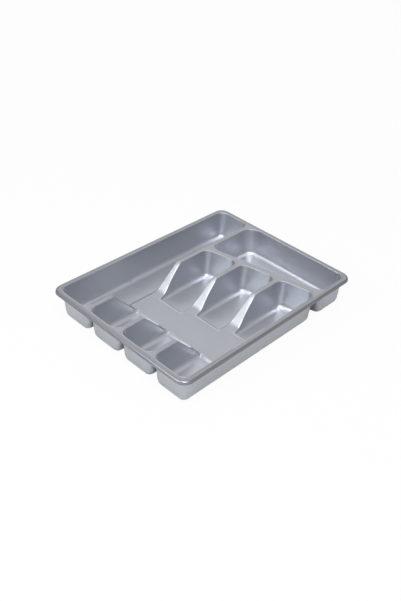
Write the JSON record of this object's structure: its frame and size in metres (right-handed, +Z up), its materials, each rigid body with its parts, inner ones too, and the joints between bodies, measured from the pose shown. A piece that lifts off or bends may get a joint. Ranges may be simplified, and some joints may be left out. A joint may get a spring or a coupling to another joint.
{
  "type": "cutlery tray",
  "caption": "Shallow rectangular drawer tray in satin silver-grey plastic: a long compartment, a slanting cross compartment, and cutlery compartments whose dividers dip to a low finger step.",
  "frame": {"origin": "middle of the tray's base, on the surface it stands on", "axes": "+X along the tray towards the slanting cross compartment, +Y towards the long compartment at the back, +Z up"},
  "size_m": [0.395, 0.302, 0.053],
  "materials": {
    "tray_plastic": "satin silver-grey, fine grain"
  },
  "bodies": {
    "root": {"rim": "tray_plastic", "right_divider_tops": "tray_plastic", "front_left_divider_top": "tray_plastic", "middle_left_divider_top": "tray_plastic", "back_left_divider_top": "tray_plastic", "long_compartment": "tray_plastic", "cross_compartment": "tray_plastic", "front_left_compartment": "tray_plastic", "front_right_compartment": "tray_plastic", "middle_left_compartment": "tray_plastic", "middle_right_compartment": "tray_plastic", "back_left_compartment": "tray_plastic", "back_right_compartment": "tray_plastic", "finger_step": "tray_plastic", "foot_bar": "tray_plastic"}
  },
  "joints": []
}
